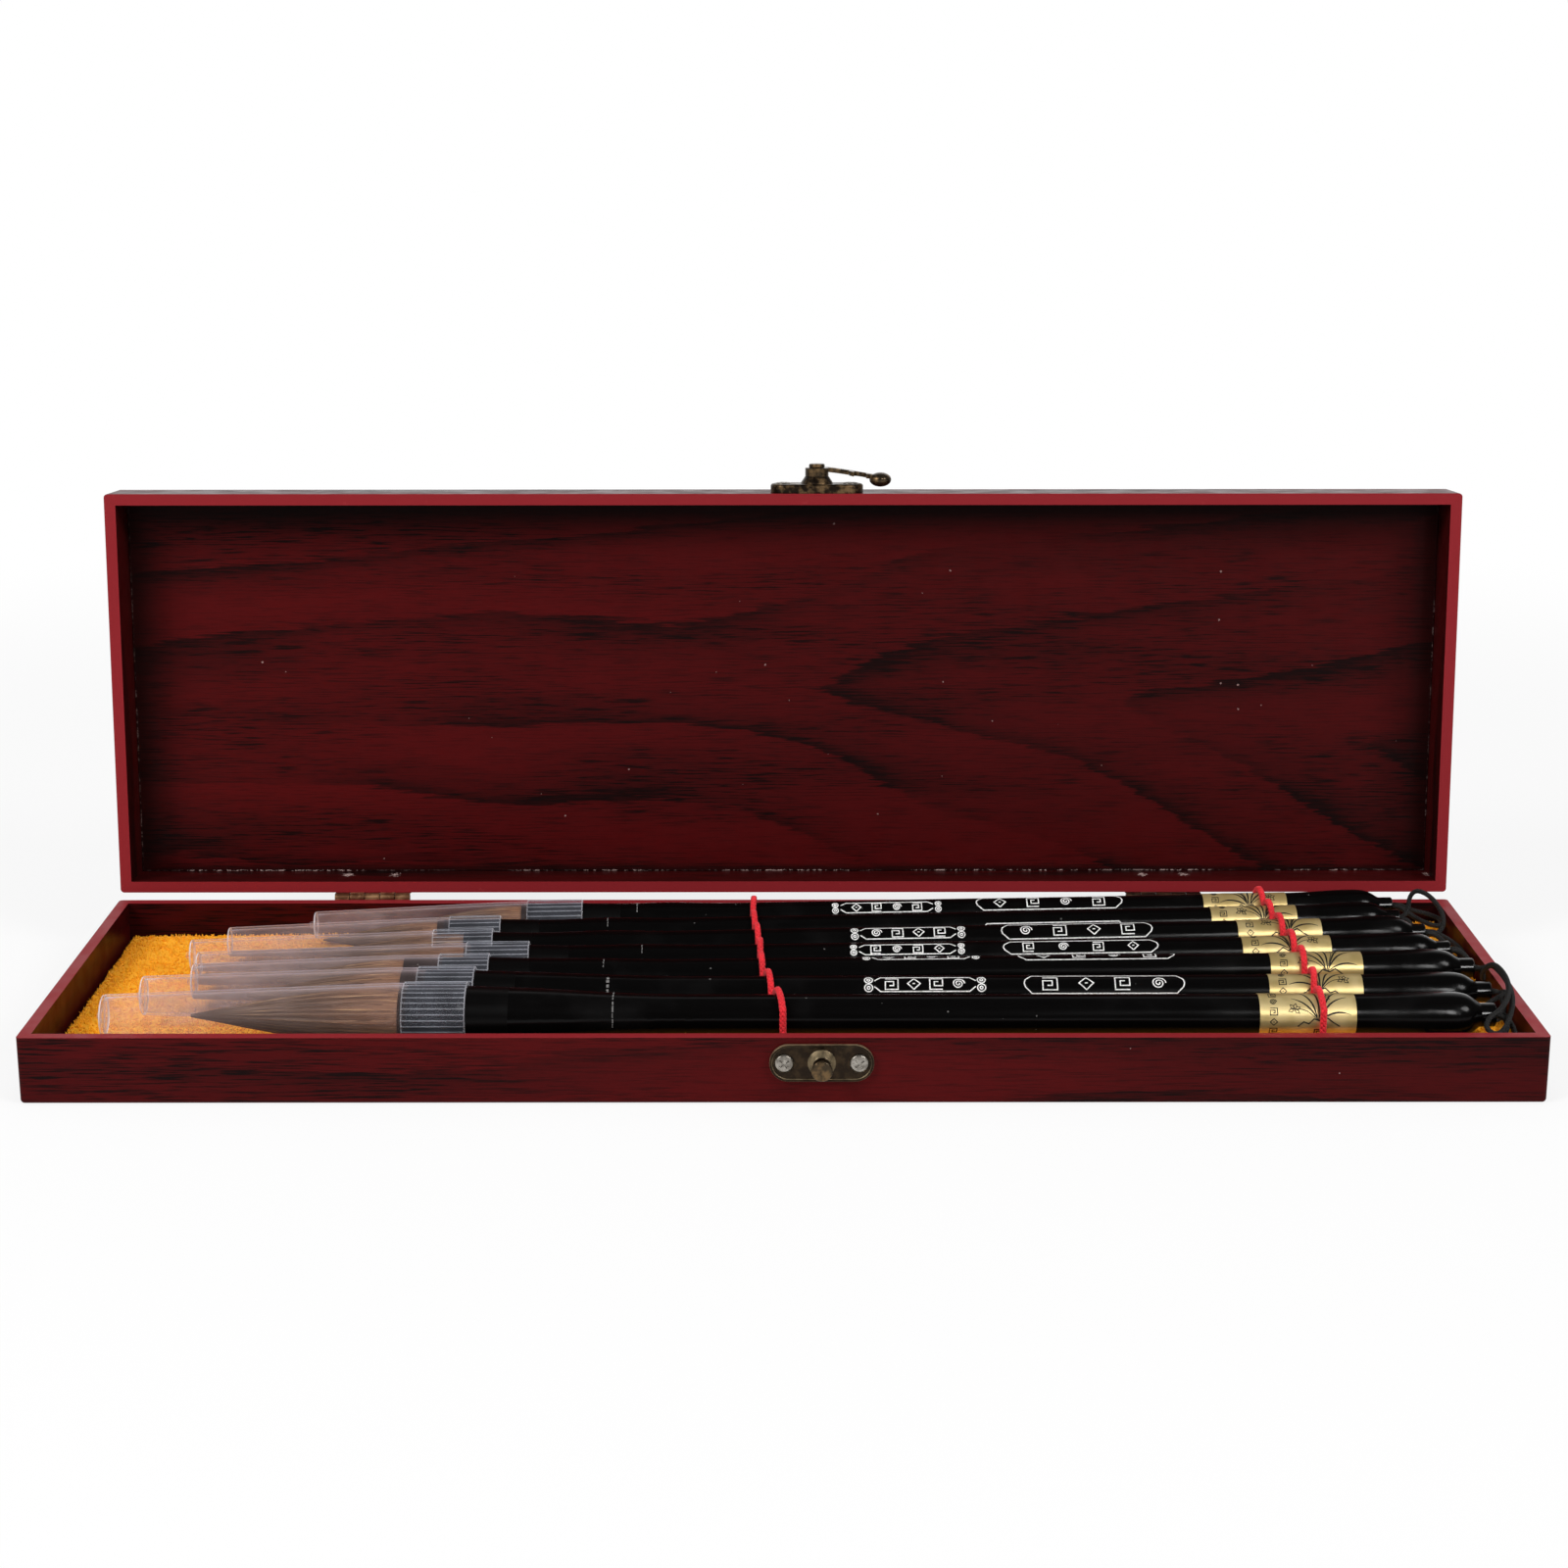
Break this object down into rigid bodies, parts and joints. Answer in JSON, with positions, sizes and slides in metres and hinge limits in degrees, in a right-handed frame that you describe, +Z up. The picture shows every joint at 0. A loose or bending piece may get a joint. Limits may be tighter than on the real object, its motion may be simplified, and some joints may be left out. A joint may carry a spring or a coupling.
{
  "type": "calligraphy brush set box",
  "caption": "Slim hinged wooden box with a padded tray of capped writing brushes tied down by cords, and a swing-hook latch.",
  "frame": {"origin": "middle of the base's underside", "axes": "+X along the box's length, +Y from front to back (hinge side), +Z up; the lid is open at rest"},
  "size_m": [0.36, 0.1417, 0.133],
  "materials": {
    "wood_foil_board": "thin fibreboard in dark red wood-grain foil, rims painted bright red",
    "foam": "soft foam, out of sight",
    "orange_fleece": "short looped fleece",
    "brass_screws": "satin",
    "hinge_brass": "satin, a little dull",
    "steel_screws": "antique, worn bright on edges",
    "antique_bronze": "dark antique bronze, worn bright on edges",
    "clear_cap": "milky clear plastic",
    "brush_hair": "fine brown hair",
    "black_lacquer": "gloss black lacquer",
    "black_horn": "gloss black",
    "black_plug": "gloss black",
    "gold_foil": "satin gold foil",
    "black_braid": "braided cord",
    "red_cord": "twisted cord"
  },
  "bodies": {
    "base": {"base_back_wall": "wood_foil_board", "base_front_wall": "wood_foil_board", "base_left_wall": "wood_foil_board", "base_panel": "wood_foil_board", "base_right_wall": "wood_foil_board", "brush_1_hair": "brush_hair", "brush_1_handle": "black_lacquer", "brush_1_hanging_loop": "black_braid", "brush_2_hair": "brush_hair", "brush_2_handle": "black_lacquer", "brush_2_hanging_loop": "black_braid", "brush_3_hair": "brush_hair", "brush_3_handle": "black_lacquer", "brush_3_hanging_loop": "black_braid", "brush_4_hair": "brush_hair", "brush_4_handle": "black_lacquer", "brush_4_hanging_loop": "black_braid", "brush_5_hair": "brush_hair", "brush_5_handle": "black_lacquer", "brush_5_hanging_loop": "black_braid", "brush_6_hair": "brush_hair", "brush_6_handle": "black_lacquer", "brush_6_hanging_loop": "black_braid", "brush_7_hair": "brush_hair", "brush_7_handle": "black_lacquer", "brush_7_hanging_loop": "black_braid", "brush_ferrules": "black_horn", "brush_labels": "gold_foil", "brush_tail_plugs": "black_plug", "catch_pin": "antique_bronze", "catch_plate": "antique_bronze", "catch_plate_screws": "steel_screws", "hinge_base_screws": "brass_screws", "left_hinge_base_leaf": "hinge_brass", "left_hinge_pin": "hinge_brass", "left_tie_cord": "red_cord", "liner_fleece": "orange_fleece", "liner_foam": "foam", "right_hinge_base_leaf": "hinge_brass", "right_hinge_pin": "hinge_brass", "right_tie_cord": "red_cord"},
    "lid": {"hinge_lid_screws": "brass_screws", "hook_plate": "antique_bronze", "hook_plate_screws": "steel_screws", "hook_rivet": "antique_bronze", "left_hinge_lid_leaf": "hinge_brass", "lid_back_wall": "wood_foil_board", "lid_front_wall": "wood_foil_board", "lid_left_wall": "wood_foil_board", "lid_panel": "wood_foil_board", "lid_right_wall": "wood_foil_board", "right_hinge_lid_leaf": "hinge_brass"},
    "hook": {"latch_hook": "antique_bronze"},
    "cap_1": {"brush_1_cap": "clear_cap"},
    "cap_2": {"brush_2_cap": "clear_cap"},
    "cap_3": {"brush_3_cap": "clear_cap"},
    "cap_4": {"brush_4_cap": "clear_cap"},
    "cap_5": {"brush_5_cap": "clear_cap"},
    "cap_6": {"brush_6_cap": "clear_cap"},
    "cap_7": {"brush_7_cap": "clear_cap"}
  },
  "joints": [
    {"name": "lid_hinge", "type": "hinge", "parent": "base", "child": "lid", "pos_m": [0, 0.0554, 0.0167], "axis": [1, 0, 0], "range_deg": [0, 94.74]},
    {"name": "hook_swing", "type": "hinge", "parent": "lid", "child": "hook", "pos_m": [0.009, 0.06962, 0.1253], "axis": [0, -0.0826, -0.9966], "range_deg": [-20, 90]},
    {"name": "cap_1_pull", "type": "slide", "parent": "base", "child": "cap_1", "axis": [-1, 0.0014, -0.0006], "range_m": [0, 0.0122]},
    {"name": "cap_2_pull", "type": "slide", "parent": "base", "child": "cap_2", "axis": [-1, 0.0019, -0.0028], "range_m": [0, 0.0177]},
    {"name": "cap_3_pull", "type": "slide", "parent": "base", "child": "cap_3", "axis": [-0.9999, -0.0162, -0.005], "range_m": [0, 0.0274]},
    {"name": "cap_4_pull", "type": "slide", "parent": "base", "child": "cap_4", "axis": [-0.9996, -0.0267, -0.0062], "range_m": [0, 0.0261]},
    {"name": "cap_5_pull", "type": "slide", "parent": "base", "child": "cap_5", "axis": [-0.9993, -0.0371, -0.0068], "range_m": [0, 0.0222]},
    {"name": "cap_6_pull", "type": "slide", "parent": "base", "child": "cap_6", "axis": [-0.9992, -0.039, -0.0082], "range_m": [0, 0.0297]},
    {"name": "cap_7_pull", "type": "slide", "parent": "base", "child": "cap_7", "axis": [-0.9997, -0.0238, -0.0107], "range_m": [0, 0.05]}
  ]
}
